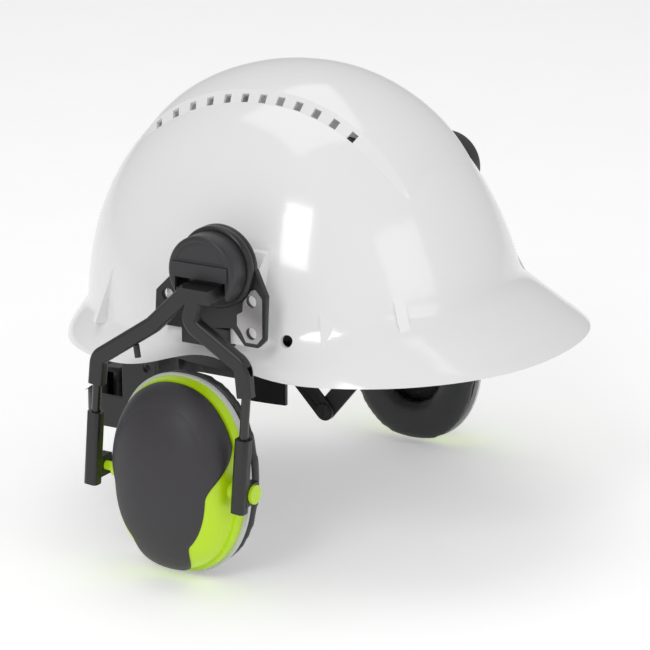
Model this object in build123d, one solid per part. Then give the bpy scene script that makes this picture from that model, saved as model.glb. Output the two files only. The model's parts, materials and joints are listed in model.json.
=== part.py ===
"""Forestry helmet: ventilated safety shell, ratchet headband and two helmet-mounted ear cups.

Frame: +X to the wearer's left, -Y to the front (the peak), +Z up.  The origin is the centre of
the head opening, in the nominal plane of the side rim.  All sizes are millimetres.
The ear cups are drawn flipped out to their stand-by position.
"""
from build123d import *
from math import asin, atan2, cos, exp, hypot, pi, sin, sqrt, tan, radians
import os

# ---------------------------------------------------------------- shell
SHELL_HALF_WIDTH = 102.0      # dome, at the rim plane
SHELL_FRONT = 115.0           # dome, centre to front
SHELL_REAR = 123.4            # dome, centre to back
SHELL_HEIGHT = 137.0          # dome top above the rim plane
SHELL_WALL = 2.6
PLAN_POWER = 2.08             # superellipse exponent of the dome's plan
SIDE_POWER = 1.92             # exponent of the dome's upright profile
REAR_FULLNESS = 0.45          # added to that exponent at the back
DOME_LEAN = 3.0               # the top sits this far behind the origin
RIM_HALF_WIDTH = 108.5        # brim edge, at the ears
PEAK_REACH = 146.0            # brim edge, centre to the tip of the peak
GUTTER_REACH = 131.0          # brim edge, centre to the rear gutter
PEAK_CREASE_Z = 29.0          # where the peak leaves the crown
GUTTER_CREASE_Z = 14.0        # where the rear gutter leaves the crown
RIM_SLOPE = 0.056             # the rim falls this much per mm towards the back
EAR_ARCH_RISE = 11.5
EAR_ARCH_HALF_LENGTH = 32.0
EAR_ARCH_Y = 2.0
CREST_HALF_WIDTH = 35.0       # top edge of the raised crest
CREST_STEP = 6.0              # width of its sloping side step
CREST_RISE = 4.0
CREST_FRONT_Y = -92.0
CREST_REAR_Y = 98.0
VENTS_PER_SIDE = 12
VENT_FIRST_Y = -46.0
VENT_PITCH = 10.6             # along Y, between neighbouring vents
VENT_SIZE = 4.2
RIB_RISE = 4.0
CREASE_SOFTNESS = 0.16        # rounding between crown and peak
RIB_WIDTH = 6.0
RIBS = ((-52, 50, 22), (-31, 46, 12), (38, 48, 10))    # plan angle, top and foot heights

# ---------------------------------------------------------------- accessory slot and adapter
HUB_Y = -12.5                 # swivel axis of an ear-cup attachment
HUB_Z = 60.5
PAD_X = 108.8                 # outer face of the slot housing
PAD_HALF_LENGTH = 24.0
PAD_LOW_Z = 20.0
PAD_HIGH_Z = 46.0             # top of its upright face
PAD_TAPER_X = 92.0            # above that it slopes in to the dome
PAD_TAPER_Z = 64.0
PAD_ROOT_X = 80.0
SLOT_GAP = 2.8
SLOT_OUTER_WALL = 2.4
TONGUE_CLEARANCE = 0.3
FACE_CLEARANCE = 0.3
PLATE_THICKNESS = 3.0
HUB_FLANGE_RADIUS = 21.0
HUB_FLANGE_THICKNESS = 4.5
CAP_RADIUS = 19.0
CAP_DEPTH = 13.0
CAP_WALL = 2.0
AXLE_RADIUS = 4.0
RUNNING_CLEARANCE = 0.05
MOUNT_HOLE_RADIUS = 3.2
VISOR_HOLE_Y = -31.5
VISOR_HOLE_LOW_Z = 28.3
VISOR_HOLE_SPACING = 16.5
STEEL_THICKNESS = 1.0

# ---------------------------------------------------------------- fork, wires and holders
FORK_X = 137.0                # middle plane of the fork arms
FORK_WIDTH = 8.6
FORK_DEPTH = 6.6
FLIP_PIN_X = 124.5
FLIP_PIN_Z = 62.5
FLIP_PIN_RADIUS = 1.6
FLIP_BARREL_RADIUS = 3.2
FORK_ROOT_HALF_WIDTH = 9.0
WIRE_RADIUS = 2.3
WIRE_LEAN = 4.3               # degrees, wires lean back towards the bottom
FRONT_WIRE_Y = -43.0          # at the rim plane
REAR_WIRE_Y = 44.6
WIRE_LOW_Z = -53.0
HOLDER_TOP_Z = -18.0
HOLDER_LENGTH = 39.0
HOLDER_WIDTH = 7.8
HOLDER_DEPTH = 7.0
PIVOT_X = 131.0
PIVOT_Z = -48.3
PIVOT_SHAFT_RADIUS = 2.4
BUTTON_RADIUS = 4.9
BUTTON_THICKNESS = 1.6

# ---------------------------------------------------------------- ear cup
CUP_Y = 2.4
CUP_Z = -47.2
CUP_HALF_LENGTH = 37.0        # along Y, at the ring
CUP_HALF_HEIGHT = 51.0
CUP_RING_X = 124.0            # outer face of the grey ring
CUP_RING_THICKNESS = 2.2
CUP_DEPTH = 29.0              # neon shell and cover, outwards from the ring
CUP_WALL = 2.0
COVER_THICKNESS = 1.6
LIP_DEPTH = 5.0
PIVOT_BOSS_RADIUS = 4.6
COVER_START = 8.0             # neon left showing between the ring and the cover
BACKPLATE_THICKNESS = 2.0
CUSHION_THICKNESS = 9.5
CUSHION_OVERHANG = 1.5
RING_SIDE_LIP = 2.3           # the ring and cushion are wider than the shell along Y
EAR_HOLE_HALF_LENGTH = 18.0
EAR_HOLE_HALF_HEIGHT = 28.0
FOAM_THICKNESS = 9.0

# ---------------------------------------------------------------- suspension and headband
BAND_HALF_WIDTH = 73.0
BAND_FRONT = 88.0
BAND_REAR = 92.0
BAND_THICKNESS = 2.0
BAND_LOW_Z = -8.0
BAND_HIGH_Z = 22.0
SWEATBAND_THICKNESS = 4.0
STRAP_WIDTH = 16.0
STRAP_THICKNESS = 1.2
STRAP_TOP_Z = 100.0
STRAP_END_Z = 24.0
STRAP_REACH = 90.0
STRAP_STACK = 1.6
KEY_WIDTH = 20.0
KEY_HEIGHT = 12.0
TEMPLE_X = 73.4
RIVET_Y = -52.0
RIVET_Z = -19.0
RIVET_RADIUS = 2.6
TEMPLE_STRAP_WIDTH = 10.0
TEMPLE_STRAP_THICKNESS = 1.6
NAPE_HALF_WIDTH = 53.0
NAPE_REAR = 110.0
NAPE_Z = -50.0
NAPE_HEIGHT = 18.0
NAPE_THICKNESS = 2.2
HOUSING_HALF_WIDTH = 30.0
HOUSING_HEIGHT = 30.0
HOUSING_DEPTH = 9.0
HOUSING_WALL = 2.0
RACK_LENGTH = 48.0
RACK_THICKNESS = 2.4
PINION_TEETH = 12
PINION_MODULE = 1.25
KNOB_RADIUS = 15.0
KNOB_DEPTH = 11.0


def save(name, shape):
    """Write one named piece."""
    shape.label = name
    export_step(shape, f"parts/{name}.step")


def save_pair(name, shape):
    """Write a left-hand piece and its right-hand mirror image."""
    save(f"left_{name}", shape)
    save(f"right_{name}", mirror(shape, about=Plane.YZ))


def block(x0, x1, y0, y1, z0, z1):
    """A box between two corners."""
    size = (x1 - x0, y1 - y0, z1 - z0)
    middle = ((x0 + x1) / 2, (y0 + y1) / 2, (z0 + z1) / 2)
    return Pos(*middle) * Box(*size)


def rod(start, end, radius):
    """A round bar between two points."""
    start, end = Vector(*start), Vector(*end)
    plane = Plane(origin=start, z_dir=end - start)
    return extrude(plane * Circle(radius), (end - start).length)


def plate_yz(points, x0, x1):
    """A plate with a polygonal outline in Y and Z, from x0 to x1."""
    outline = make_face(Polyline(*[(x0, y, z) for y, z in points], close=True))
    return extrude(outline, x1 - x0, dir=(1, 0, 0))


def bar(points, x, width, depth, radius):
    """A rounded bar that follows a bent path in the plane X = x."""
    path = FilletPolyline(*[(x, y, z) for y, z in points], radius=radius)
    section = Plane(origin=path @ 0, z_dir=path % 0, x_dir=(1, 0, 0)) * RectangleRounded(
        depth, width, min(width, depth) * 0.3
    )
    return sweep(section, path=path)


def oval(half_y, half_z, x, y=CUP_Y, z=CUP_Z, exponent=2.25, count=40):
    """A face bounded by a superellipse in the plane X = x."""
    points = []
    for i in range(count):
        c, s = cos(2 * pi * i / count), sin(2 * pi * i / count)
        dy = half_y * abs(c) ** (2 / exponent) * (1 if c >= 0 else -1)
        dz = half_z * abs(s) ** (2 / exponent) * (1 if s >= 0 else -1)
        points.append((x, y + dy, z + dz))
    return Face(Wire([Edge.make_spline(points, periodic=True)]))


# ================================================================ shell
def smoothstep(value):
    value = min(1.0, max(0.0, value))
    return value * value * (3 - 2 * value)


def rim_z(y):
    """Height of the brim edge at a station along Y: a falling line with an arch over the ears."""
    return -1.0 - RIM_SLOPE * y + EAR_ARCH_RISE * exp(-(((y - EAR_ARCH_Y) / EAR_ARCH_HALF_LENGTH) ** 2))


def dome_point(angle, rise):
    """Dome surface: angle in plan from +X, rise from 0 at the rim plane to 1 at the top."""
    c, s = cos(angle), sin(angle)
    power = SIDE_POWER + REAR_FULLNESS * max(0.0, s) ** 2
    spread = sqrt(max(0.0, 1 - rise ** power))
    length = SHELL_REAR if s > 0 else SHELL_FRONT
    x = SHELL_HALF_WIDTH * spread * abs(c) ** (2 / PLAN_POWER) * (1 if c >= 0 else -1)
    y = length * spread * abs(s) ** (2 / PLAN_POWER) * (1 if s >= 0 else -1) + DOME_LEAN * rise
    return Vector(x, y, SHELL_HEIGHT * rise)


def edge_point(angle):
    """Brim edge at an angle in plan."""
    c, s = cos(angle), sin(angle)
    plan = 2.35
    length = GUTTER_REACH if s > 0 else PEAK_REACH
    x = RIM_HALF_WIDTH * abs(c) ** (2 / plan) * (1 if c >= 0 else -1)
    y = length * abs(s) ** (2 / plan) * (1 if s >= 0 else -1)
    return Vector(x, y, rim_z(y))


def outline_at(angle, z, inset):
    """Point of the shell's skin at a height: the dome, widened into peak or gutter below the crease."""
    frontness = smoothstep((-sin(angle) - 0.1) / 0.55)
    crease_z = GUTTER_CREASE_Z + (PEAK_CREASE_Z - GUTTER_CREASE_Z) * frontness - 0.5 * inset * frontness
    edge = edge_point(angle)
    edge_z = edge.Z - inset * frontness
    rise = min(1.0, max(0.0, z) / (SHELL_HEIGHT - inset))
    skin = inward(dome_point(angle, rise), inset)
    corner = inward(dome_point(angle, crease_z / SHELL_HEIGHT), inset)
    edge = inward(edge, inset * (1 - 0.45 * frontness))
    t = (crease_z - z) / (crease_z - edge_z)
    sloped = min((t + sqrt(t * t + CREASE_SOFTNESS ** 2)) / 2, 1.1)
    lip = smoothstep(t)
    share = sloped * frontness + lip * (1 - frontness)
    return Vector(skin.X + (edge.X - corner.X) * share, skin.Y + (edge.Y - corner.Y) * share, z)


def inward(point, distance):
    """Move a point towards the vertical axis."""
    reach = hypot(point.X, point.Y)
    keep = (reach - distance) / reach if reach > distance else 0.0
    return Vector(point.X * keep, point.Y * keep, point.Z)


def skin_solid(inset):
    """The solid under the shell's skin, lofted through level sections.  The crest covers its flat top."""
    heights = [-14, -8, -3, 2, 7, 12, 17, 22, 27, 32, 39]
    top = SHELL_HEIGHT - inset
    start = asin(39 / top)
    heights += [top * sin(start + (radians(80) - start) * i / 6) for i in range(1, 7)]
    sections = []
    for z in heights:
        points = [outline_at(2 * pi * (i + 0.5) / 32, z, inset) for i in range(32)]
        sections.append(Face(Wire([Edge.make_spline(points, periodic=True)])))
    return loft(sections)


def crest_height(y):
    """Rise of the crest above the dome, fading into it at the front and the back."""
    front = smoothstep((y - CREST_FRONT_Y) / 34)
    rear = smoothstep((CREST_REAR_Y - y) / 34)
    return (CREST_RISE + 2.0) * front * rear - 2.0


def dome_height_at(x, y):
    """Height of the dome above a point in plan."""
    rise = 0.9
    for _ in range(4):
        length = SHELL_REAR if y - DOME_LEAN * rise > 0 else SHELL_FRONT
        a = (abs(x) / SHELL_HALF_WIDTH) ** PLAN_POWER
        b = (abs(y - DOME_LEAN * rise) / length) ** PLAN_POWER
        rearward = b / (a + b + 1e-9) if y > 0 else 0.0
        power = SIDE_POWER + REAR_FULLNESS * rearward
        spread = min(1.0, (a + b) ** (1 / PLAN_POWER))
        rise = (1 - spread ** 2) ** (1 / power)
    return SHELL_HEIGHT * rise


def crest_solid(inset):
    """A raised strip along the top of the dome with sloping sides."""
    stations = 15
    sections = []
    half = CREST_HALF_WIDTH - inset * 0.4
    foot = half + CREST_STEP
    for i in range(stations):
        y = CREST_FRONT_Y + (CREST_REAR_Y - CREST_FRONT_Y) * i / (stations - 1)
        rise = crest_height(y) - inset
        top = Spline(*[(x, y, dome_height_at(x, y) + rise) for x in (-half, -half / 2, 0, half / 2, half)])
        foot_z = dome_height_at(foot, y) - 1.2 - inset
        base = Polyline((half, y, (top @ 1).Z), (foot, y, foot_z), (-foot, y, foot_z), (-half, y, (top @ 0).Z))
        sections.append(make_face([top, base]))
    return loft(sections)


def vent_cutters():
    """Square holes through the sloping sides of the crest."""
    cutters = []
    for side in (1, -1):
        for i in range(VENTS_PER_SIDE):
            y = VENT_FIRST_Y + VENT_PITCH * i
            x = CREST_HALF_WIDTH + CREST_STEP / 2
            z = dome_height_at(x, y) + CREST_RISE / 2 - 0.5
            ahead = dome_height_at(x, y + 1) - dome_height_at(x, y - 1)
            pitch = -atan2(ahead, 2) * 180 / pi
            box = Box(18, VENT_SIZE, VENT_SIZE + 0.6)
            placed = Pos(side * x, y, z) * Rot(pitch * -1, 0, 0) * Rot(0, -side * 42, 0) * box
            cutters.append(placed)
    return cutters


def rib(angle_deg, top_z, low_z):
    """A tapered upright rib that grows out of the dome wall towards the brim."""
    angle = radians(angle_deg)
    top = dome_point(angle, top_z / SHELL_HEIGHT)
    foot = dome_point(angle, low_z / SHELL_HEIGHT)
    out = Vector(foot.X, foot.Y, 0).normalized()
    across = Vector(-out.Y, out.X, 0)
    inner_low = foot - out * 1.6
    inner_top = top - out * 1.6
    outer_low = foot + out * (RIB_RISE + 2.0)
    outline = make_face(Polyline(inner_low, inner_top, outer_low, close=True))
    return extrude(outline, RIB_WIDTH / 2, dir=across, both=True)


def below_rim():
    """Everything under the rim line."""
    reach = 170
    edge = Spline(*[(0, y, rim_z(y)) for y in range(-reach, reach + 1, 20)])
    under = Polyline((0, reach, rim_z(reach)), (0, reach, -80), (0, -reach, -80), (0, -reach, rim_z(-reach)))
    return extrude(make_face([edge, under]), 160, dir=(1, 0, 0), both=True)


def slot_pad():
    """Outer housing of the accessory slot on the left side, before the slot is cut."""
    y0, y1 = HUB_Y - PAD_HALF_LENGTH + 9, HUB_Y + PAD_HALF_LENGTH + 9
    outline = [(PAD_ROOT_X, PAD_LOW_Z), (PAD_X, PAD_LOW_Z), (PAD_X, PAD_HIGH_Z),
               (PAD_TAPER_X, PAD_TAPER_Z), (PAD_ROOT_X, PAD_TAPER_Z)]
    corners = [(x, y0, z) for x, z in outline]
    face = Face(Wire.make_polygon([Vector(*corner) for corner in corners], close=True))
    return extrude(face, y1 - y0, dir=(0, 1, 0)), y0, y1


def build_shell():
    cavity = skin_solid(SHELL_WALL)
    shell = skin_solid(0) + crest_solid(0)
    for side in (1, -1):
        pad = slot_pad()[0]
        shell += pad if side > 0 else mirror(pad, about=Plane.YZ)
        for angle, top, low in RIBS:
            shell += rib(angle if side > 0 else 180 - angle, top, low)
    shell -= cavity + crest_solid(SHELL_WALL)
    shell -= below_rim()
    for side in (1, -1):
        pad, y0, y1 = slot_pad()
        inner_wall_x = PAD_X - SLOT_OUTER_WALL - SLOT_GAP - 2.0
        pocket = block(70, inner_wall_x, y0 + 2.4, y1 - 2.4, PAD_LOW_Z + 2.4, PAD_HIGH_Z - 2.4)
        slot_x1 = PAD_X - SLOT_OUTER_WALL
        slot = block(slot_x1 - SLOT_GAP, slot_x1, y0 + 4, y1 - 4, PAD_LOW_Z - 5, PAD_HIGH_Z - 3)
        hole = rod((80, -41, 21), (125, -41, 21), MOUNT_HOLE_RADIUS)
        for cutter in (pocket, slot, hole):
            shell -= cutter if side > 0 else mirror(cutter, about=Plane.YZ)
    return shell.cut(*vent_cutters())


# ================================================================ ear-cup attachment, left side
PLATE_X0 = PAD_X + FACE_CLEARANCE
PLATE_X1 = PLATE_X0 + PLATE_THICKNESS
FLANGE_X1 = PLATE_X1 + HUB_FLANGE_THICKNESS
CAP_X0 = FLANGE_X1 + FACE_CLEARANCE
CAP_X1 = CAP_X0 + CAP_DEPTH


def disc(x0, x1, radius, y=HUB_Y, z=HUB_Z):
    return rod((x0, y, z), (x1, y, z), radius)


def adapter_plate():
    """Plate with a front and a rear wing, a bottom bridge and the tongue that fills the slot."""
    wings = [(-20, 72), (-34, 61), (-40, 48), (-39, 25), (-35, 21), (-27, 21), (-20, 29), (12, 25),
             (26, 25), (25, 43), (16, 52), (2, 74)]
    plate = plate_yz(wings, PLATE_X0, PLATE_X1) + disc(PLATE_X0, PLATE_X1, HUB_FLANGE_RADIUS)
    y0, y1 = slot_pad()[1] + 4 + TONGUE_CLEARANCE, slot_pad()[2] - 4 - TONGUE_CLEARANCE
    tongue_x1 = PAD_X - SLOT_OUTER_WALL - TONGUE_CLEARANCE
    tongue_x0 = PAD_X - SLOT_OUTER_WALL - SLOT_GAP + TONGUE_CLEARANCE
    low_z = PAD_LOW_Z - TONGUE_CLEARANCE - 2.2
    tongue = block(tongue_x0, tongue_x1, y0 + 6, y1 - 6, low_z, PAD_HIGH_Z - 4)
    bridge = block(tongue_x0, PLATE_X1, y0 + 6, y1 - 6, low_z, low_z + 2.2)
    heel = block(PLATE_X0, PLATE_X1, y0 + 6, y1 - 6, low_z, PAD_LOW_Z + 8)
    plate += tongue + bridge + heel
    for y, z in adapter_holes():
        plate -= disc(PLATE_X0 - 1, PLATE_X1 + 1, MOUNT_HOLE_RADIUS, y, z)
    return plate - disc(PLATE_X0 - 1, PLATE_X1 + 1, AXLE_RADIUS)


def adapter_holes():
    high = VISOR_HOLE_LOW_Z + VISOR_HOLE_SPACING
    return [(VISOR_HOLE_Y, VISOR_HOLE_LOW_Z), (VISOR_HOLE_Y, high), (18.0, 41.0)]


def visor_plate():
    """Steel plate on the front wing that takes a visor's two screws."""
    outline = [(-34.2, 51.5), (-38.0, 47), (-38.0, 27), (-35.0, 23.4), (-28.5, 23.4), (-26, 28),
               (-23.4, 31.5), (-23.4, 37), (-26.6, 39), (-27, 44), (-30.4, 50)]
    plate = plate_yz(outline, PLATE_X1, PLATE_X1 + STEEL_THICKNESS)
    for y, z in adapter_holes()[:2]:
        plate -= disc(PLATE_X1 - 1, PLATE_X1 + STEEL_THICKNESS + 1, MOUNT_HOLE_RADIUS, y, z)
    keep_off = disc(PLATE_X1 - 1, PLATE_X1 + STEEL_THICKNESS + 1, HUB_FLANGE_RADIUS + 0.5)
    return plate - keep_off


def hub_base():
    """Flanged ring fixed to the adapter plate, with the bore that the axle turns in."""
    base = disc(PLATE_X1, FLANGE_X1, HUB_FLANGE_RADIUS)
    base = chamfer(base.faces().sort_by(Axis.X)[-1].edges(), 1.0)
    return base - disc(PLATE_X1 - 1, FLANGE_X1 + 1, AXLE_RADIUS + RUNNING_CLEARANCE)


def hub_axle():
    """Headed axle: the head sits behind the cap's floor, the shank is riveted behind the plate."""
    shank = disc(PLATE_X0 - 0.1, CAP_X0 + 2.5, AXLE_RADIUS)
    return shank + disc(CAP_X0 + CAP_WALL + 0.2, CAP_X0 + CAP_WALL + 2.0, AXLE_RADIUS + 1.5)


def hub_cap():
    """Hollow domed cap that swivels with the fork; its lower side is notched for the fork."""
    outer = disc(CAP_X0, CAP_X1, CAP_RADIUS)
    outer = fillet(outer.faces().sort_by(Axis.X)[-1].edges(), 2.0)
    cap = outer - disc(CAP_X0 + CAP_WALL, CAP_X1 - CAP_WALL, CAP_RADIUS - CAP_WALL)
    notch = block(CAP_X0 + CAP_WALL, CAP_X1 + 1, HUB_Y - 14.5, HUB_Y + 14.5, HUB_Z - 30, HUB_Z - 3)
    band = block(CAP_X1 - 0.2, CAP_X1 + 0.8, HUB_Y - 16, HUB_Y + 16, HUB_Z - 2.6, HUB_Z + 5)
    cap = cap - notch + band
    cap -= disc(CAP_X0 - 1, CAP_X0 + CAP_WALL + 0.1, AXLE_RADIUS + RUNNING_CLEARANCE)
    for side in (-1, 1):
        y = HUB_Y - 2 + side * 13.6
        lug = block(CAP_X0 + CAP_WALL - 0.1, CAP_X1 - CAP_WALL + 0.1, y - 1.2, y + 1.2, HUB_Z - 2.4, HUB_Z + 7)
        cap += lug
    bore = rod((FLIP_PIN_X, HUB_Y - 30, FLIP_PIN_Z), (FLIP_PIN_X, HUB_Y + 30, FLIP_PIN_Z), FLIP_PIN_RADIUS)
    return cap - (bore & block(CAP_X0, CAP_X1, HUB_Y - 17, HUB_Y + 14, HUB_Z - 10, HUB_Z + 10))


def flip_pin():
    return rod((FLIP_PIN_X, HUB_Y - 16.6, FLIP_PIN_Z), (FLIP_PIN_X, HUB_Y + 12.8, FLIP_PIN_Z), FLIP_PIN_RADIUS)


def hub_spring():
    """Leaf spring over the fork's barrel that snaps it between its two positions."""
    low = FLIP_PIN_Z + FLIP_BARREL_RADIUS + 0.4
    return block(FLIP_PIN_X - 3, FLIP_PIN_X + 3, HUB_Y - 14.3, HUB_Y + 10.3, low, low + 0.8)


def fork_yoke():
    """Barrel on the flip pin, a neck through the notch and two bent arms that carry the wires."""
    y0, y1 = HUB_Y - 2.0 - FORK_ROOT_HALF_WIDTH, HUB_Y - 2.0 + FORK_ROOT_HALF_WIDTH
    barrel = rod((FLIP_PIN_X, y0, FLIP_PIN_Z), (FLIP_PIN_X, y1, FLIP_PIN_Z), FLIP_BARREL_RADIUS)
    drop = block(FLIP_PIN_X - 0.5, FLIP_PIN_X + 3.0, y0, y1, HUB_Z - 12.0, FLIP_PIN_Z)
    neck = block(FLIP_PIN_X - 0.5, FORK_X + FORK_DEPTH / 2, y0, y1, HUB_Z - 12.0, HUB_Z - 5.0)
    root = barrel + drop
    front = bar([(-16.0, 54), (-10.5, 38), (-41.6, 19.5), wire_point(FRONT_WIRE_Y, 4)],
                FORK_X, FORK_WIDTH, FORK_DEPTH, 7)
    rear = bar([(-11.0, 54), (10.6, 33), (43.4, 11), wire_point(REAR_WIRE_Y, -3)],
               FORK_X, FORK_WIDTH, FORK_DEPTH, 7)
    peg = rod((FORK_X, 21, 21), (FORK_X, 20, 14.5), 1.6)
    yoke = root + neck + front + rear + peg
    yoke -= rod((FLIP_PIN_X, HUB_Y - 30, FLIP_PIN_Z), (FLIP_PIN_X, HUB_Y + 30, FLIP_PIN_Z),
                FLIP_PIN_RADIUS + RUNNING_CLEARANCE)
    for y, z in ((FRONT_WIRE_Y, 4), (REAR_WIRE_Y, -3)):
        yoke -= wire(y, z + 16)
    return yoke


def wire_point(y, z):
    """A point on a wire's leaning line, given where it crosses the rim plane."""
    return (y - z * tan(radians(WIRE_LEAN)), z)


def wire(y_at_rim, top_z, radius=WIRE_RADIUS, low_z=WIRE_LOW_Z):
    y0, z0 = wire_point(y_at_rim, top_z)
    y1, z1 = wire_point(y_at_rim, low_z)
    return rod((FORK_X, y0, z0), (FORK_X, y1, z1), radius)


def fork_wires():
    return Compound([wire(FRONT_WIRE_Y, 14), wire(REAR_WIRE_Y, 7)])


def wire_holder(y_at_rim, boss_side):
    """Sliding sleeve on a wire with a boss for the cup's pivot pin."""
    y0, z0 = wire_point(y_at_rim, HOLDER_TOP_Z)
    y1, z1 = wire_point(y_at_rim, HOLDER_TOP_Z - HOLDER_LENGTH)
    line = Vector(0, y1 - y0, z1 - z0)
    section = Plane(origin=(FORK_X, y0, z0), z_dir=line, x_dir=(1, 0, 0)) * RectangleRounded(
        HOLDER_DEPTH, HOLDER_WIDTH, 2.2
    )
    sleeve = extrude(section, line.length)
    middle = wire_point(y_at_rim, PIVOT_Z)[0]
    boss = block(PIVOT_X - 5.4, FORK_X, middle - HOLDER_WIDTH / 2, middle + HOLDER_WIDTH / 2,
                 PIVOT_Z - 5.4, PIVOT_Z + 5.4)
    shaft = rod((PIVOT_X, -80, PIVOT_Z), (PIVOT_X, 80, PIVOT_Z), PIVOT_SHAFT_RADIUS)
    bore = wire(y_at_rim, HOLDER_TOP_Z + 5, WIRE_RADIUS + RUNNING_CLEARANCE, HOLDER_TOP_Z - HOLDER_LENGTH - 5)
    return sleeve + boss - bore - shaft


def wire_holders():
    return Compound([wire_holder(FRONT_WIRE_Y, -1), wire_holder(REAR_WIRE_Y, 1)])


def pivot_pin(y_at_rim, side):
    """Neon-headed pin through a holder's boss into the cup's side."""
    middle = wire_point(y_at_rim, PIVOT_Z)[0]
    outer = middle + side * (HOLDER_WIDTH / 2 + 0.1)
    inner = CUP_Y + side * (CUP_HALF_LENGTH - 3.2)
    shaft = rod((PIVOT_X, inner, PIVOT_Z), (PIVOT_X, outer, PIVOT_Z), PIVOT_SHAFT_RADIUS)
    head = rod((PIVOT_X, outer, PIVOT_Z), (PIVOT_X, outer + side * BUTTON_THICKNESS, PIVOT_Z), BUTTON_RADIUS)
    return shaft + head


def pivot_pins():
    return Compound([pivot_pin(FRONT_WIRE_Y, -1), pivot_pin(REAR_WIRE_Y, 1)])


# ================================================================ ear cup, left side
def cup_bulge(inset, start, end, count=6):
    """Rounded outer form of the cup from one distance beyond the ring to another."""
    sections = []
    for i in range(count):
        depth = start + (end - start) * i / (count - 1)
        share = max(0.0, depth / CUP_DEPTH)
        keep = (1 - share ** 2.6) ** 0.42 if share < 1 else 0.0
        keep = max(keep, 0.5)
        taper = 1 - 0.05 * share
        sections.append(oval(CUP_HALF_LENGTH * keep * taper - inset, CUP_HALF_HEIGHT * keep * taper - inset,
                             CUP_RING_X + depth))
    return loft(sections)


def cup_shell():
    """Deep neon shell, open towards the ear, with two bosses for the pivot pins."""
    depth = CUP_DEPTH - COVER_THICKNESS - 0.6
    outer = cup_bulge(COVER_THICKNESS, 0, depth)
    lip = cup_bulge(0, 0, LIP_DEPTH, 3)
    shell = outer + lip
    shaft = rod((PIVOT_X, -80, PIVOT_Z), (PIVOT_X, 80, PIVOT_Z), PIVOT_SHAFT_RADIUS + RUNNING_CLEARANCE)
    bosses = []
    for side in (-1, 1):
        outer_y = CUP_Y + side * (CUP_HALF_LENGTH - 0.5)
        inner_y = CUP_Y + side * (CUP_HALF_LENGTH - 6.5)
        bosses.append(rod((PIVOT_X, inner_y, PIVOT_Z), (PIVOT_X, outer_y, PIVOT_Z), PIVOT_BOSS_RADIUS))
    shell = shell - cup_bulge(COVER_THICKNESS + CUP_WALL, -1.0, depth - CUP_WALL)
    for boss in bosses:
        shell += boss
    return shell - shaft


def cup_cover():
    """Soft-touch cover over the outer part of the shell, waisted beside the two pivots."""
    outer = cup_bulge(0, COVER_START, CUP_DEPTH - 0.4)
    cover = outer - cup_bulge(COVER_THICKNESS + 0.05, COVER_START - 0.5, CUP_DEPTH - COVER_THICKNESS - 0.4)
    for side in (-1, 1):
        y = CUP_Y + side * (CUP_HALF_LENGTH + 1.5)
        waist = rod((CUP_RING_X + 5, y, PIVOT_Z + 6), (CUP_RING_X + 5, y, PIVOT_Z - 60), 9.5)
        cover -= waist
    return cover


def cup_ring():
    """Light grey flange of the cup that the cushion snaps into."""
    outer = oval(CUP_HALF_LENGTH + RING_SIDE_LIP, CUP_HALF_HEIGHT + 1.0, CUP_RING_X)
    inner = oval(CUP_HALF_LENGTH - 5, CUP_HALF_HEIGHT - 5, CUP_RING_X)
    return extrude(outer - inner, CUP_RING_THICKNESS, dir=(-1, 0, 0))


def cushion_backplate():
    """Plate that carries the cushion."""
    x = CUP_RING_X - CUP_RING_THICKNESS
    outer = oval(CUP_HALF_LENGTH, CUP_HALF_HEIGHT, x)
    inner = oval(EAR_HOLE_HALF_LENGTH + 2, EAR_HOLE_HALF_HEIGHT + 2, x)
    return extrude(outer - inner, BACKPLATE_THICKNESS, dir=(-1, 0, 0))


def cushion():
    """Sealed ring cushion that bears on the head."""
    x = CUP_RING_X - CUP_RING_THICKNESS - BACKPLATE_THICKNESS
    outer = oval(CUP_HALF_LENGTH + RING_SIDE_LIP + 0.7, CUP_HALF_HEIGHT + CUSHION_OVERHANG, x)
    ring = extrude(outer, CUSHION_THICKNESS, dir=(-1, 0, 0))
    ring = fillet(ring.faces().sort_by(Axis.X)[0].edges(), 3.0)
    return ring - extrude(oval(EAR_HOLE_HALF_LENGTH, EAR_HOLE_HALF_HEIGHT, x + 1), CUSHION_THICKNESS + 2,
                          dir=(-1, 0, 0))


def foam_insert():
    """Absorbing foam inside the shell."""
    x = CUP_RING_X - CUP_RING_THICKNESS
    pad = extrude(oval(CUP_HALF_LENGTH - 9, CUP_HALF_HEIGHT - 9, x + 1.0), FOAM_THICKNESS, dir=(1, 0, 0))
    return pad


# ================================================================ headband and suspension
def loop_face(half_width, front, rear, z, exponent=2.3, count=40):
    """A face bounded by an egg-shaped loop around the head."""
    points = []
    for i in range(count):
        angle = 2 * pi * (i + 0.5) / count
        c, s = cos(angle), sin(angle)
        length = rear if s > 0 else front
        points.append((
            half_width * abs(c) ** (2 / exponent) * (1 if c >= 0 else -1),
            length * abs(s) ** (2 / exponent) * (1 if s >= 0 else -1),
            z,
        ))
    return Face(Wire([Edge.make_spline(points, periodic=True)]))


def loop_band(inset, low, high):
    outer = loop_face(BAND_HALF_WIDTH - inset, BAND_FRONT - inset, BAND_REAR - inset, low)
    inner_inset = inset + BAND_THICKNESS
    inner = loop_face(BAND_HALF_WIDTH - inner_inset, BAND_FRONT - inner_inset, BAND_REAR - inner_inset, low)
    return extrude(outer - inner, high - low)


def headband():
    """Plastic band around the head, arched over the ears, with hanging lobes ahead of them."""
    band = loop_band(0, BAND_LOW_Z, BAND_HIGH_Z)
    lobes = loop_band(0, -22, BAND_LOW_Z + 0.1) & (
        block(-90, 90, -26, -4, -22, BAND_LOW_Z + 0.2)
    )
    return band + lobes


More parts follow.
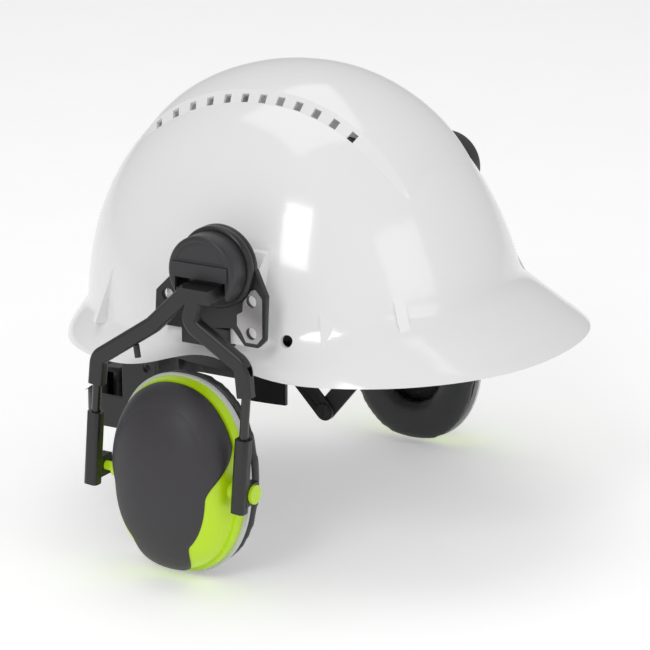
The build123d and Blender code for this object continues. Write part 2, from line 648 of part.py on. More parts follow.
def sweatband():
    """Padded sweatband on the inside of the headband's front."""
    inset = BAND_THICKNESS + 0.1
    deep = inset + SWEATBAND_THICKNESS
    outer = loop_face(BAND_HALF_WIDTH - inset, BAND_FRONT - inset, BAND_REAR - inset, BAND_LOW_Z - 2)
    inner = loop_face(BAND_HALF_WIDTH - deep, BAND_FRONT - deep, BAND_REAR - deep, BAND_LOW_Z - 2)
    ring = extrude(outer - inner, BAND_HIGH_Z - BAND_LOW_Z + 4)
    return ring & block(-58, 58, -120, -20, -40, STRAP_END_Z - KEY_HEIGHT - 0.5)


STRAP_ANGLES = (0.0, 60.0, 120.0)


def crown_strap(index):
    """Webbing strap over the head from one rim key to the opposite one."""
    reach = STRAP_REACH
    top = STRAP_TOP_Z - STRAP_END_Z - index * STRAP_STACK
    plane = Plane(origin=(0, 4, STRAP_END_Z), x_dir=(1, 0, 0), z_dir=(0, -1, 0))
    outer = plane * Ellipse(reach, top)
    inner = plane * Ellipse(reach - STRAP_THICKNESS, top - STRAP_THICKNESS)
    strap = extrude(outer - inner, STRAP_WIDTH / 2, both=True)
    strap &= block(-200, 200, -200, 200, STRAP_END_Z, 200)
    return strap.rotate(Axis((0, 4, 0), (0, 0, 1)), STRAP_ANGLES[index])


def crown_straps():
    return Compound([crown_strap(i) for i in range(len(STRAP_ANGLES))])


def suspension_key(angle, cavity, band):
    """Moulded key at the end of a strap: seated on the shell's inner wall, with an arm to the headband."""
    key = block(STRAP_REACH + 0.2, STRAP_REACH + 40, 4 - KEY_WIDTH / 2, 4 + KEY_WIDTH / 2,
                STRAP_END_Z - KEY_HEIGHT, STRAP_END_Z)
    key += block(STRAP_REACH - 3, STRAP_REACH + 1, 4 - KEY_WIDTH / 2, 4 + KEY_WIDTH / 2,
                 STRAP_END_Z - KEY_HEIGHT, STRAP_END_Z - 0.2)
    key += block(BAND_HALF_WIDTH - 6, STRAP_REACH + 1, -1, 9, STRAP_END_Z - 6, STRAP_END_Z - 3.5)
    turned = key.rotate(Axis((0, 4, 0), (0, 0, 1)), angle)
    head_side = loop_face(BAND_HALF_WIDTH - BAND_THICKNESS / 2, BAND_FRONT - BAND_THICKNESS / 2,
                          BAND_REAR - BAND_THICKNESS / 2, BAND_LOW_Z - 5)
    trimmed = (turned & cavity) - band - extrude(head_side, BAND_HIGH_Z - BAND_LOW_Z + 15)
    return max(trimmed.solids(), key=lambda solid: solid.volume)


def suspension_keys(cavity, band):
    keys = []
    for angle in STRAP_ANGLES:
        for turn in (0, 180):
            keys.append(suspension_key(angle + turn, cavity, band))
    return Compound(keys)


def temple_strap(top_y):
    """Flat strap hanging from the rim down to the temple rivet."""
    top = Vector(0, top_y, 8)
    rivet = Vector(0, RIVET_Y, RIVET_Z)
    along = (rivet - top).normalized()
    side = Vector(0, -along.Z, along.Y) * (TEMPLE_STRAP_WIDTH / 2)
    outline = make_face(Polyline(top + side, rivet + side, rivet - side, top - side, close=True))
    strap = extrude(outline, TEMPLE_STRAP_THICKNESS, dir=(1, 0, 0))
    return strap + rod((0, RIVET_Y, RIVET_Z), (TEMPLE_STRAP_THICKNESS, RIVET_Y, RIVET_Z), TEMPLE_STRAP_WIDTH / 2)


def temple_strap_front(cavity):
    """Front arm of the V ahead of the ear, with a foot on the shell's inner wall."""
    foot = block(TEMPLE_X, TEMPLE_X + 20, -79, -69, 5, 12) & cavity
    return Pos(TEMPLE_X, 0, 0) * temple_strap(-74) + foot - temple_hole()


def temple_strap_rear(band):
    """Rear arm of the V, clipped to the headband."""
    x0 = TEMPLE_X + TEMPLE_STRAP_THICKNESS + 0.1
    clip = block(TEMPLE_X - 6, x0 + TEMPLE_STRAP_THICKNESS, -31, -21, 4, 12) - band
    clip = max(clip.solids(), key=lambda solid: solid.center().X)
    return Pos(x0, 0, 0) * temple_strap(-26) + clip - temple_hole()


def temple_hole():
    return rod((TEMPLE_X - 9, RIVET_Y, RIVET_Z), (TEMPLE_X + 9, RIVET_Y, RIVET_Z), RIVET_RADIUS)


def temple_rivet():
    x1 = TEMPLE_X + 2 * TEMPLE_STRAP_THICKNESS + 0.1
    shank = rod((TEMPLE_X, RIVET_Y, RIVET_Z), (x1, RIVET_Y, RIVET_Z), RIVET_RADIUS)
    heads = rod((x1, RIVET_Y, RIVET_Z), (x1 + 1, RIVET_Y, RIVET_Z), RIVET_RADIUS + 1.4)
    heads += rod((TEMPLE_X - 1, RIVET_Y, RIVET_Z), (TEMPLE_X, RIVET_Y, RIVET_Z), RIVET_RADIUS + 1.4)
    slot = block(x1 + 0.5, x1 + 2, RIVET_Y - 0.5, RIVET_Y + 0.5, RIVET_Z - 2.4, RIVET_Z + 2.4)
    return shank + heads - slot


# ================================================================ nape ratchet
HOUSING_Y0 = NAPE_REAR - HOUSING_DEPTH / 2
HOUSING_Y1 = NAPE_REAR + HOUSING_DEPTH / 2


def nape_band():
    """Band that drops from the headband and runs round to both ends of the ratchet housing."""
    low, high = NAPE_Z - NAPE_HEIGHT / 2, NAPE_Z + NAPE_HEIGHT / 2
    y = HOUSING_Y0 + HOUSING_WALL + 0.3 + RACK_THICKNESS + 0.3 + NAPE_THICKNESS / 2
    path = FilletPolyline((NAPE_HALF_WIDTH, 64, 0), (NAPE_HALF_WIDTH, y, 0), (HOUSING_HALF_WIDTH + 0.6, y, 0),
                          radius=9)
    section = Plane(origin=path @ 0, z_dir=path % 0, x_dir=(1, 0, 0)) * Rectangle(NAPE_THICKNESS, NAPE_HEIGHT)
    ring = Pos(0, 0, NAPE_Z) * sweep(section, path=path)
    drop = block(NAPE_HALF_WIDTH - NAPE_THICKNESS / 2, NAPE_HALF_WIDTH + NAPE_THICKNESS / 2, 64, 86,
                 low, BAND_LOW_Z)
    half = ring + drop - rod((40, 70, -22), (70, 70, -22), 2)
    return Compound([half.solids()[0], mirror(half, about=Plane.YZ).solids()[0]])


def ratchet_housing():
    """Hollow box at the nape, open at both ends for the toothed tails."""
    z0, z1 = NAPE_Z - HOUSING_HEIGHT / 2, NAPE_Z + HOUSING_HEIGHT / 2
    box = block(-HOUSING_HALF_WIDTH, HOUSING_HALF_WIDTH, HOUSING_Y0, HOUSING_Y1, z0, z1)
    box = fillet(box.edges().filter_by(Axis.Y), 3)
    inner = block(-HOUSING_HALF_WIDTH - 1, HOUSING_HALF_WIDTH + 1, HOUSING_Y0 + HOUSING_WALL,
                  HOUSING_Y1 - HOUSING_WALL, z0 + HOUSING_WALL, z1 - HOUSING_WALL)
    bore = rod((0, HOUSING_Y0 - 1, NAPE_Z), (0, HOUSING_Y1 + 1, NAPE_Z), 4 + RUNNING_CLEARANCE)
    return box - inner - bore


PITCH_RADIUS = PINION_MODULE * PINION_TEETH / 2


def pinion_profile():
    """Straight-sided teeth on a wheel in the XZ plane."""
    root, tip = PITCH_RADIUS - 1.2 * PINION_MODULE, PITCH_RADIUS + 0.75 * PINION_MODULE
    points = []
    for i in range(PINION_TEETH):
        middle = 2 * pi * i / PINION_TEETH
        for offset, radius in ((-0.32, root), (-0.13, tip), (0.13, tip), (0.32, root)):
            angle = middle + offset * 2 * pi / PINION_TEETH
            points.append((radius * sin(angle), 0, radius * cos(angle)))
    return make_face(Polyline(*points, close=True))


def ratchet_pinion():
    y0 = HOUSING_Y0 + HOUSING_WALL + 0.3
    depth = HOUSING_DEPTH - 2 * HOUSING_WALL - 0.6
    gear = extrude(Pos(0, y0, NAPE_Z) * pinion_profile(), depth, dir=(0, 1, 0))
    return gear - rod((0, y0 - 1, NAPE_Z), (0, y0 + depth + 1, NAPE_Z), 3)


def ratchet_knob():
    """Grip knob with its shaft through the housing."""
    start = HOUSING_Y1 + 0.3
    knob = rod((0, start, NAPE_Z), (0, start + KNOB_DEPTH, NAPE_Z), KNOB_RADIUS)
    knob = fillet(knob.faces().sort_by(Axis.Y)[-1].edges(), 2)
    for i in range(12):
        angle = 2 * pi * i / 12
        x, z = KNOB_RADIUS * cos(angle), NAPE_Z + KNOB_RADIUS * sin(angle)
        knob -= rod((x, start + 2, z), (x, start + KNOB_DEPTH + 1, z), 1.5)
    knob += rod((0, HOUSING_Y1 - HOUSING_WALL + 0.1, NAPE_Z), (0, start + 0.1, NAPE_Z), 4)
    return knob + rod((0, HOUSING_Y0 + 0.2, NAPE_Z), (0, start, NAPE_Z), 3)


def rack_tail(side):
    """Toothed tail of the nape strap: the left one runs above the pinion, the right one below."""
    pitch = pi * PINION_MODULE
    y0 = HOUSING_Y0 + HOUSING_WALL + 0.3
    y1 = y0 + RACK_THICKNESS
    face_z = PITCH_RADIUS + 0.1
    x0, x1 = -12 * side, (RACK_LENGTH - 12) * side
    root = 1.25 * PINION_MODULE
    back_z = NAPE_Z + face_z + root - 0.3
    body = block(min(x0, x1), max(x0, x1), y0, y1, back_z, back_z + 3.4)
    count = int(28 / pitch)
    for i in range(count):
        middle = (-10.5 + (i + 0.5) * pitch) if side > 0 else (10.5 - (i + 0.5) * pitch)
        middle = round(middle / pitch - 0.5) * pitch + pitch / 2
        half_root, half_tip = pitch * 0.26, pitch * 0.11
        tip_z = NAPE_Z + face_z - 0.7 * PINION_MODULE
        root_z = NAPE_Z + face_z + root
        tooth = make_face(Polyline((middle - half_root, y0, root_z), (middle - half_tip, y0, tip_z),
                                   (middle + half_tip, y0, tip_z), (middle + half_root, y0, root_z), close=True))
        body += extrude(tooth, y1 - y0, dir=(0, 1, 0))
    if side < 0:
        body = body.rotate(Axis((0, 0, NAPE_Z), (0, 1, 0)), 180)
        body = mirror(body, about=Plane.YZ)
    return body


def nape_pad():
    """Soft pad between the nape and the housing."""
    return block(-HOUSING_HALF_WIDTH + 2, HOUSING_HALF_WIDTH - 2, HOUSING_Y0 - 6.2, HOUSING_Y0 - 0.2,
                 NAPE_Z - HOUSING_HEIGHT / 2 + 1, NAPE_Z + HOUSING_HEIGHT / 2 - 1)


def build_attachment():
    """Everything that an ear-cup attachment holds, both sides."""
    save_pair("adapter_plate", adapter_plate())
    save_pair("visor_plate", visor_plate())
    save_pair("hub_base", hub_base())
    save_pair("hub_axle", hub_axle())
    save_pair("hub_cap", hub_cap())
    save_pair("flip_pin", flip_pin())
    save_pair("hub_spring", hub_spring())
    save_pair("fork_yoke", fork_yoke())
    save_pair("fork_wires", fork_wires())
    save_pair("wire_holders", wire_holders())
    save_pair("pivot_pins", pivot_pins())
    save_pair("cup_shell", cup_shell())
    save_pair("cup_cover", cup_cover())
    save_pair("cup_ring", cup_ring())
    save_pair("cushion_backplate", cushion_backplate())
    save_pair("cushion", cushion())
    save_pair("foam_insert", foam_insert())


def build_suspension():
    cavity = skin_solid(SHELL_WALL) - below_rim()
    band = headband()
    save("headband", band)
    save("sweatband", sweatband())
    save("crown_straps", crown_straps())
    save("suspension_keys", suspension_keys(cavity, band))
    save_pair("temple_strap_front", temple_strap_front(cavity))
    save_pair("temple_strap_rear", temple_strap_rear(band))
    save_pair("temple_rivet", temple_rivet())
    save("nape_band", nape_band())
    save("ratchet_housing", ratchet_housing())
    save("ratchet_pinion", ratchet_pinion())
    save("ratchet_knob", ratchet_knob())
    save("rack_tail_left", rack_tail(1))
    save("rack_tail_right", rack_tail(-1))
    save("nape_pad", nape_pad())


if __name__ == "__main__":
    os.makedirs("parts", exist_ok=True)
    save("shell", build_shell())
    build_attachment()
    build_suspension()
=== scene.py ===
import json
import math
import bpy
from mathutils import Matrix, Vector


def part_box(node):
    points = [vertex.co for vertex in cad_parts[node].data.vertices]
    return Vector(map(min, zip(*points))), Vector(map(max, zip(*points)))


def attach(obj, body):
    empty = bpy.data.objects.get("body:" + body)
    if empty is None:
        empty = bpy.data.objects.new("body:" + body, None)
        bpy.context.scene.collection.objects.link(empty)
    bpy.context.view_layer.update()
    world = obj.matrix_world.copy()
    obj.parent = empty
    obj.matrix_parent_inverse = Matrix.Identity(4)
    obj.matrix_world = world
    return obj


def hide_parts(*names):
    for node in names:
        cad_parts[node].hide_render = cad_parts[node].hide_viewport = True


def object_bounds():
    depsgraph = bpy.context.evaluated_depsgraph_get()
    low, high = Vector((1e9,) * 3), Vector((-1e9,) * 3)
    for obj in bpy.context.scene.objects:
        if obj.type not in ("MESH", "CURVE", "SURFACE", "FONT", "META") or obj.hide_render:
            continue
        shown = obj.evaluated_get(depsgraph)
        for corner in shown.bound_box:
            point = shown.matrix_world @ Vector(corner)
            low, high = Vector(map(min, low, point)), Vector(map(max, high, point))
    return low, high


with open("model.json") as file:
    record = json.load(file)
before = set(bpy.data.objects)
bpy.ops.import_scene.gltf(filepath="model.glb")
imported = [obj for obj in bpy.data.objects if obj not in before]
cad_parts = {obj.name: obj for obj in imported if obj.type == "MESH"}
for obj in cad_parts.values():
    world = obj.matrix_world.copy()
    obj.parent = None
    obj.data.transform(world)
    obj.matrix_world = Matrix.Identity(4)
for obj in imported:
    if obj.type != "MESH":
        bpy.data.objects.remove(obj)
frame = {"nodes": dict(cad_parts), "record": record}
cad_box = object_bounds()
NODES = frame["nodes"]
SLOT_OF = {s["node"]: s["material_slot"] for s in frame["record"]["subparts"]}

# Sizes in metres, in the frame's own axes.
CUP_Y, CUP_Z, RING_X = 0.0024, -0.0472, 0.124
HALF_Y, HALF_Z, DEPTH = 0.037, 0.051, 0.029
COVER_WALL = 0.0015
OVAL = 2 / 2.25               # exponent of the cup's outline
BAND = 2 / 2.3                # exponent of the headband's outline
BAND_HALF_WIDTH, BAND_FRONT = 0.073, 0.088
CLOTH_PRESSURE = 4
CLOTH_FRAMES = 20
VOXEL = 0.003                 # the thinnest pad is 6 mm, so the voxel is below 4 mm
BEVEL_WIDTH = 0.0007
WELD_DISTANCE = 0.00002
RELIEF_DISTANCE = 0.0003
STRAP_COUNT = 3
STRAP_WIDTH, STRAP_THICKNESS = 0.0156, 0.001
STRAP_END_Z, STRAP_REACH, STRAP_RISE, STRAP_STACK = 0.024, 0.0894, 0.0754, 0.0016
STRAP_CENTRE_Y = 0.004
BORDER_RADIUS, BEAD_OUT, BEAD_UP = 0.0152, 0.0006, 0.00045
CAMERA_AT = (-1.4819, -0.8787, 0.5214)
CAMERA_TOWARDS = (0.8249, 0.4849, -0.2904)
LENS, SENSOR = 188.1, 36


# ---------------------------------------------------------------- materials
def material(name, colour, rough, grain=900.0, bump=0.1, stretch=(1, 1, 1), vary=0.12, metal=0.0,
             coat=0.0, sheen=0.0, pattern="noise"):
    m = bpy.data.materials.new(name)
    m.use_nodes = True
    t = m.node_tree
    n, link = t.nodes, t.links.new
    s = n["Principled BSDF"]
    s.inputs["Metallic"].default_value = metal
    s.inputs["Coat Weight"].default_value = coat
    s.inputs["Coat Roughness"].default_value = 0.06
    s.inputs["Sheen Weight"].default_value = sheen
    where = n.new("ShaderNodeTexCoord")
    scale = n.new("ShaderNodeMapping")
    scale.inputs["Scale"].default_value = stretch
    link(where.outputs["Object"], scale.inputs["Vector"])
    if pattern == "weave":
        fine = n.new("ShaderNodeTexWave")
        fine.inputs["Scale"].default_value = grain
        fine.inputs["Distortion"].default_value = 1.5
        fine_out = fine.outputs["Fac"]
    elif pattern == "cells":
        fine = n.new("ShaderNodeTexVoronoi")
        fine.inputs["Scale"].default_value = grain
        fine_out = fine.outputs["Distance"]
    else:
        fine = n.new("ShaderNodeTexNoise")
        fine.inputs["Scale"].default_value = grain
        fine.inputs["Detail"].default_value = 4.0
        fine_out = fine.outputs["Fac"]
    link(scale.outputs["Vector"], fine.inputs["Vector"])
    broad = n.new("ShaderNodeTexNoise")
    broad.inputs["Scale"].default_value = 22.0
    broad.inputs["Detail"].default_value = 5.0
    link(where.outputs["Object"], broad.inputs["Vector"])
    tint = n.new("ShaderNodeMix")
    tint.data_type = "RGBA"
    tint.inputs["A"].default_value = (*[c * (1 - vary) for c in colour], 1)
    tint.inputs["B"].default_value = (*[min(1, c * (1 + vary)) for c in colour], 1)
    link(broad.outputs["Fac"], tint.inputs["Factor"])
    link(tint.outputs["Result"], s.inputs["Base Color"])
    spread = n.new("ShaderNodeMapRange")
    spread.inputs["To Min"].default_value = rough * 0.85
    spread.inputs["To Max"].default_value = min(1, rough * 1.15)
    link(broad.outputs["Fac"], spread.inputs["Value"])
    link(spread.outputs["Result"], s.inputs["Roughness"])
    relief = n.new("ShaderNodeBump")
    relief.inputs["Strength"].default_value = bump
    relief.inputs["Distance"].default_value = RELIEF_DISTANCE
    link(fine_out, relief.inputs["Height"])
    link(relief.outputs["Normal"], s.inputs["Normal"])
    return m


MATS = {
    "shell_white": material("shell_white", (0.84, 0.84, 0.85), 0.16, 60, 0.02, vary=0.01, coat=0.4),
    "black_plastic": material("black_plastic", (0.014, 0.014, 0.015), 0.36, 1400, 0.14),
    "cap_plastic": material("cap_plastic", (0.024, 0.023, 0.026), 0.42, 1800, 0.2),
    "brushed_plate": material("brushed_plate", (0.42, 0.41, 0.41), 0.34, 300, 0.15, (1, 40, 1), metal=1.0),
    "pin_steel": material("pin_steel", (0.45, 0.45, 0.45), 0.3, 400, 0.1, (1, 20, 1), metal=1.0),
    "wire_black": material("wire_black", (0.012, 0.012, 0.012), 0.28, 900, 0.08, coat=0.2),
    "neon_plastic": material("neon_plastic", (0.52, 0.78, 0.004), 0.34, 1200, 0.06, vary=0.04, coat=0.2),
    "cover_soft": material("cover_soft", (0.034, 0.031, 0.035), 0.52, 2200, 0.25),
    "ring_grey": material("ring_grey", (0.58, 0.58, 0.6), 0.42, 1500, 0.1, vary=0.04),
    "cushion_vinyl": material("cushion_vinyl", (0.026, 0.027, 0.027), 0.36, 850, 0.35, pattern="cells"),
    "foam": material("foam", (0.035, 0.035, 0.036), 0.95, 700, 0.8, pattern="cells"),
    "band_plastic": material("band_plastic", (0.014, 0.014, 0.015), 0.4, 1300, 0.14),
    "rivet_plastic": material("rivet_plastic", (0.022, 0.022, 0.023), 0.32, 1300, 0.1),
    "sweatband_fabric": material("sweatband_fabric", (0.03, 0.03, 0.032), 0.9, 900, 0.6, sheen=0.4,
                                 pattern="cells"),
    "webbing": material("webbing", (0.026, 0.026, 0.028), 0.85, 420, 0.7, sheen=0.3, pattern="weave"),
    "nape_foam": material("nape_foam", (0.024, 0.024, 0.025), 0.9, 800, 0.5, sheen=0.3, pattern="cells"),
}
for node, obj in NODES.items():
    finish = MATS[SLOT_OF[node]]
    obj.data.materials.clear()
    obj.data.materials.append(finish)

ROUNDED = ("fork_yoke", "wire_holders", "adapter_plate", "hub_base", "hub_cap", "ratchet_knob",
           "ratchet_housing", "temple_strap_front", "temple_strap_rear", "nape_band")
for node, obj in NODES.items():
    if any(node.endswith(word) for word in ROUNDED):
        weld = obj.modifiers.new("weld", "WELD")
        weld.merge_threshold = WELD_DISTANCE
        soft = obj.modifiers.new("round", "BEVEL")
        soft.width = BEVEL_WIDTH
        soft.segments = 2
        soft.limit_method = "ANGLE"
        soft.angle_limit = math.radians(40)


# ---------------------------------------------------------------- helpers
def piece(name, verts, faces, slot, body, nodes=()):
    mesh = bpy.data.meshes.new(name)
    mesh.from_pydata(verts, [], faces)
    mesh.update()
    obj = bpy.data.objects.new(name, mesh)
    bpy.context.scene.collection.objects.link(obj)
    mesh.materials.append(MATS[slot])
    mesh.shade_smooth()
    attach(obj, body)
    if nodes:
        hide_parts(*nodes)
    return obj


def grid_faces(rows, cols, wrap=True, flip=False):
    faces = []
    for r in range(rows - 1):
        for c in range(cols if wrap else cols - 1):
            d = (c + 1) % cols
            quad = (r * cols + c, r * cols + d, (r + 1) * cols + d, (r + 1) * cols + c)
            faces.append(quad[::-1] if flip else quad)
    return faces


def power(value, exponent):
    return math.copysign(abs(value) ** exponent, value)


def step(value):
    value = max(0.0, min(1.0, value))
    return value * value * (3 - 2 * value)


# ---------------------------------------------------------------- ear cups
def cover_edge(angle):
    """How far from the ring the cover starts: narrow neon above, wide beside and below the pivots."""
    low = step((0.42 - math.sin(angle)) / 0.5)
    beside = step((abs(math.cos(angle)) - 0.12) / 0.5)
    return 0.0062 + 0.0135 * low * beside + 0.002 * low


def make_cover(side, body, node):
    cols, rows = 160, 48
    verts = []
    for r in range(rows):
        for c in range(cols):
            a = 2 * math.pi * c / cols
            first = math.asin((cover_edge(a) / DEPTH) ** 1.3)
            phi = first + (math.pi / 2 - 0.012 - first) * (r / (rows - 1)) ** 0.9
            share, keep = math.sin(phi) ** (2 / 2.6), math.cos(phi) ** 0.84
            size = keep * (1 - 0.05 * share)
            rim = 0.0007 * (1 - step(r / 2))
            groove = 0.0005 * math.exp(-((keep - 0.80) / 0.018) ** 2) * step((math.sin(a) - 0.55) / 0.15)
            verts.append((side * (RING_X + DEPTH * share - groove - rim * 0.3),
                          CUP_Y + (HALF_Y * size - rim) * power(math.cos(a), OVAL),
                          CUP_Z + (HALF_Z * size - rim) * power(math.sin(a), OVAL)))
    faces = grid_faces(rows, cols, flip=side < 0)
    last = (rows - 1) * cols
    cap = tuple(range(last, last + cols))
    faces.append(cap if side > 0 else cap[::-1])
    obj = piece(node, verts, faces, "cover_soft", body, [node.replace("_look", "")])
    thick = obj.modifiers.new("wall", "SOLIDIFY")
    thick.thickness = COVER_WALL
    thick.offset = -1
    return obj


def soften(obj, cap):
    """Puffs a closed form with a short cloth simulation, limited to cap, and applies it."""
    bpy.context.view_layer.objects.active = obj
    rem = obj.modifiers.new("remesh", "REMESH")
    rem.mode = "VOXEL"
    rem.voxel_size = VOXEL
    bake(obj)
    rest = [v.co.copy() for v in obj.data.vertices]
    cloth = obj.modifiers.new("cloth", "CLOTH")
    cloth.settings.use_pressure = True
    cloth.settings.uniform_pressure_force = CLOTH_PRESSURE
    cloth.settings.effector_weights.gravity = 0
    cloth.point_cache.frame_start = 1
    cloth.point_cache.frame_end = CLOTH_FRAMES
    for f in range(1, CLOTH_FRAMES + 1):
        bpy.context.scene.frame_set(f)
    bake(obj)
    bpy.context.scene.frame_set(1)
    for v, at in zip(obj.data.vertices, rest):
        move = v.co - at
        if move.length > cap:
            v.co = at + move * (cap / move.length)
    sub = obj.modifiers.new("fine", "SUBSURF")
    sub.levels = sub.render_levels = 1
    obj.data.shade_smooth()


def bake(obj):
    dg = bpy.context.evaluated_depsgraph_get()
    dg.update()
    new = bpy.data.meshes.new_from_object(obj.evaluated_get(dg))
    old = list(obj.data.materials)
    obj.modifiers.clear()
    obj.data = new
    obj.data.materials.clear()
    for m in old:
        obj.data.materials.append(m)


def ring_pad(name, side, slot, body, node, x0, x1, outer, inner):
    """Crowned ring cushion between two ovals, each (half_y, half_z)."""
    cols, rows = 96, 20
    verts = []
    for r in range(rows):
        t = 2 * math.pi * r / rows
        across, up = power(math.cos(t), 0.75), power(math.sin(t), 0.75)
        for c in range(cols):
            a = 2 * math.pi * c / cols
            half = [(outer[k] + inner[k]) / 2 + across * (outer[k] - inner[k]) / 2 for k in (0, 1)]
            verts.append((side * ((x0 + x1) / 2 + up * (x1 - x0) / 2),
                          CUP_Y + half[0] * power(math.cos(a), OVAL),
                          CUP_Z + half[1] * power(math.sin(a), OVAL)))
    faces = grid_faces(rows, cols, flip=side < 0)
    for c in range(cols):
        d = (c + 1) % cols
        quad = ((rows - 1) * cols + c, (rows - 1) * cols + d, d, c)
        faces.append(quad[::-1] if side < 0 else quad)
    obj = piece(name, verts, faces, slot, body, [node])
    soften(obj, 0.0008)
    return obj


def slab_pad(name, slot, body, node, cap):
    """Pillow in a node's box: crowned, with its sides pulled in between the corners."""
    lo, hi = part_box(node)
    mid, half = (lo + hi) / 2, (hi - lo) / 2
    cols, rows = 24, 16
    verts = []
    for face_side in (-1, 1):
        for r in range(rows + 1):
            for c in range(cols + 1):
                u, v = 2 * c / cols - 1, 2 * r / rows - 1
                crown = (1 - abs(u) ** 4) ** 0.5 * (1 - abs(v) ** 4) ** 0.5
                verts.append((mid.x + half.x * u * (1 - 0.03 * (1 - v * v)),
                              mid.y + face_side * half.y * 0.92 * crown,
                              mid.z + half.z * v * (1 - 0.04 * (1 - u * u))))
    count = (rows + 1) * (cols + 1)
    faces = grid_faces(rows + 1, cols + 1, wrap=False)
    faces += [tuple(i + count for i in f[::-1]) for f in faces]
    obj = piece(name, verts, faces, slot, body, [node])
    soften(obj, cap)
    return obj


for word, side in (("left", 1), ("right", -1)):
    body = f"{word}_cup"
    make_cover(side, body, f"{word}_cup_cover_look")
    ring_pad(f"{word}_cushion_soft", side, "cushion_vinyl", body, f"{word}_cushion",
             0.1108, 0.1196, (0.0395, 0.0520), (0.0190, 0.0290))
    lo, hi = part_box(f"{word}_foam_insert")
    x0, x1 = sorted((abs(lo.x), abs(hi.x)))
    ring_pad(f"{word}_foam_soft", side, "foam", body, f"{word}_foam_insert",
             x0, x1, (0.0278, 0.0418), (0.0004, 0.0006))
slab_pad("nape_pad_soft", "nape_foam", "helmet", "nape_pad", 0.001)


# ---------------------------------------------------------------- hub caps' raised half-moon borders
def cap_border(word, side):
    """Rounded bead round the upper panel of a hub cap: an arch closed by a level bar."""
    lo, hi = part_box(f"{word}_hub_cap")
    y0, z0 = (lo.y + hi.y) / 2, (lo.z + hi.z) / 2
    face_x = side * (max(abs(lo.x), abs(hi.x)) - 0.0010)
    turns = [math.radians(a) for a in range(24, 157, 4)]
    path = [(BORDER_RADIUS * math.cos(a), BORDER_RADIUS * math.sin(a)) for a in turns]
    path += [(path[-1][0] * (1 - 2 * k / 10), path[0][1]) for k in range(1, 10)]
    around, verts = 8, []
    for i, (y, z) in enumerate(path):
        ahead, behind = path[(i + 1) % len(path)], path[i - 1]
        along = Vector((0, ahead[0] - behind[0], ahead[1] - behind[1])).normalized()
        out = along.cross(Vector((1, 0, 0)))
        for k in range(around):
            t = 2 * math.pi * k / around
            at = Vector((face_x, y0 + y, z0 + z))
            at += out * BEAD_OUT * math.cos(t) + Vector((side, 0, 0)) * BEAD_UP * math.sin(t)
            verts.append(at)
    faces = grid_faces(len(path), around, flip=side < 0)
    last = (len(path) - 1) * around
    for k in range(around):
        quad = (last + k, last + (k + 1) % around, (k + 1) % around, k)
        faces.append(quad[::-1] if side < 0 else quad)
    return piece(f"{word}_cap_border", verts, faces, "cap_plastic", f"{word}_hub")


cap_border("left", 1)
cap_border("right", -1)


# ---------------------------------------------------------------- headband's padding and the straps
def sweatband():
    """Padded strip that follows the inside of the headband's front."""
    cols, rows = 72, 12
    verts = []
    for r in range(rows):
        t = 2 * math.pi * r / rows
        for c in range(cols + 1):
            a = math.pi * (1.24 + 0.52 * c / cols)
            end = min(1.0, 8 * min(c, cols - c) / cols + 0.35)
            inset = 0.0043 + 0.0019 * end * power(math.cos(t), 0.8)
            verts.append(((BAND_HALF_WIDTH - inset) * power(math.cos(a), BAND),
                          (BAND_FRONT - inset) * power(math.sin(a), BAND),
                          0.0008 + 0.0104 * end * power(math.sin(t), 0.7)))
    faces = grid_faces(rows, cols + 1, wrap=False)
    top = (rows - 1) * (cols + 1)
    faces += [(top + c, top + c + 1, c + 1, c) for c in range(cols)]
    faces.append(tuple(r * (cols + 1) for r in range(rows))[::-1])
    faces.append(tuple(r * (cols + 1) + cols for r in range(rows)))
    obj = piece("sweatband_soft", verts, faces, "sweatband_fabric", "helmet", ["sweatband"])
    sub = obj.modifiers.new("fine", "SUBSURF")
    sub.levels = sub.render_levels = 1
    return obj


def crown_strap(index):
    """Webbing strap over the head, from one key to the opposite one."""
    cols, rows = 5, 90
    rise = STRAP_RISE - STRAP_STACK * index
    turn = math.radians(60 * index)
    verts, length, last = [], 0.0, None
    for r in range(rows):
        a = math.pi * (0.004 + 0.992 * r / (rows - 1))
        x, z = STRAP_REACH * math.cos(a), STRAP_END_Z + rise * math.sin(a)
        if last is not None:
            length += math.hypot(x - last[0], z - last[1])
        last = (x, z)
        for c in range(cols):
            y = STRAP_WIDTH * (c / (cols - 1) - 0.5)
            verts.append((x * math.cos(turn) - y * math.sin(turn),
                          STRAP_CENTRE_Y + x * math.sin(turn) + y * math.cos(turn), z))
    obj = piece(f"crown_strap_{index + 1}", verts, grid_faces(rows, cols, wrap=False), "webbing", "helmet",
                ["crown_straps"])
    thick = obj.modifiers.new("weave", "SOLIDIFY")
    thick.thickness = STRAP_THICKNESS
    thick.offset = 0
    return obj


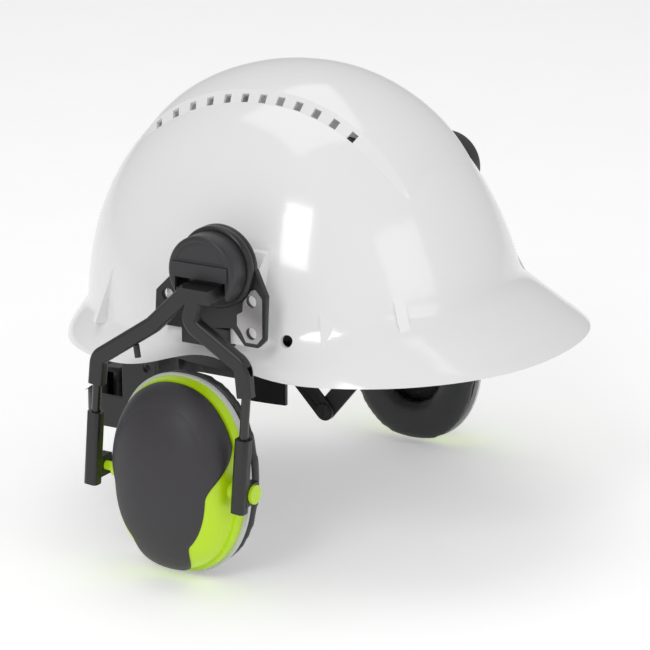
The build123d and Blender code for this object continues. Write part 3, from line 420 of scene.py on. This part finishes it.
sweatband()
for index in range(STRAP_COUNT):
    crown_strap(index)


# ---------------------------------------------------------------- stage, light and camera
def plane(name, size, z):
    mesh = bpy.data.meshes.new(name)
    mesh.from_pydata([(-size, -size, z), (size, -size, z), (size, size, z), (-size, size, z)], [],
                     [(0, 1, 2, 3)])
    obj = bpy.data.objects.new(name, mesh)
    bpy.context.scene.collection.objects.link(obj)
    pale = material("floor_pale", (0.9, 0.9, 0.9), 0.7, 5, 0.0, vary=0.01)
    pale.node_tree.nodes["Principled BSDF"].inputs["Emission Color"].default_value = (1, 1, 1, 1)
    pale.node_tree.nodes["Principled BSDF"].inputs["Emission Strength"].default_value = 0.3
    mesh.materials.append(pale)
    return obj


def softbox(name, at, target, size, watts):
    data = bpy.data.lights.new(name, "AREA")
    data.shape = "RECTANGLE"
    data.size, data.size_y = size
    data.energy = watts
    obj = bpy.data.objects.new(name, data)
    obj.location = at
    obj.rotation_euler = (Vector(target) - Vector(at)).to_track_quat("-Z", "Y").to_euler()
    bpy.context.scene.collection.objects.link(obj)


plane("floor", 8.0, cad_box[0].z - 0.002)
softbox("key", (-1.5, -0.2, 1.1), (0, 0, 0.03), (0.45, 0.8), 7.5)
softbox("front", (-0.4, -2.0, 1.0), (0, 0, 0.03), (1.2, 1.0), 5)
softbox("top", (0.2, 0.3, 1.9), (0, 0, 0.0), (1.4, 1.4), 8)
world = bpy.data.worlds.new("studio")
world.use_nodes = True
world.node_tree.nodes["Background"].inputs["Color"].default_value = (1, 1, 1, 1)
world.node_tree.nodes["Background"].inputs["Strength"].default_value = 0.5
bpy.context.scene.world = world

lens = bpy.data.cameras.new("camera")
lens.lens = LENS
lens.sensor_width = SENSOR
lens.clip_end = 50
camera = bpy.data.objects.new("camera", lens)
camera.location = CAMERA_AT
camera.rotation_euler = Vector(CAMERA_TOWARDS).to_track_quat("-Z", "Y").to_euler()
bpy.context.scene.collection.objects.link(camera)
bpy.context.scene.camera = camera
bpy.context.scene.view_settings.view_transform = "Standard"

bpy.context.view_layer.update()
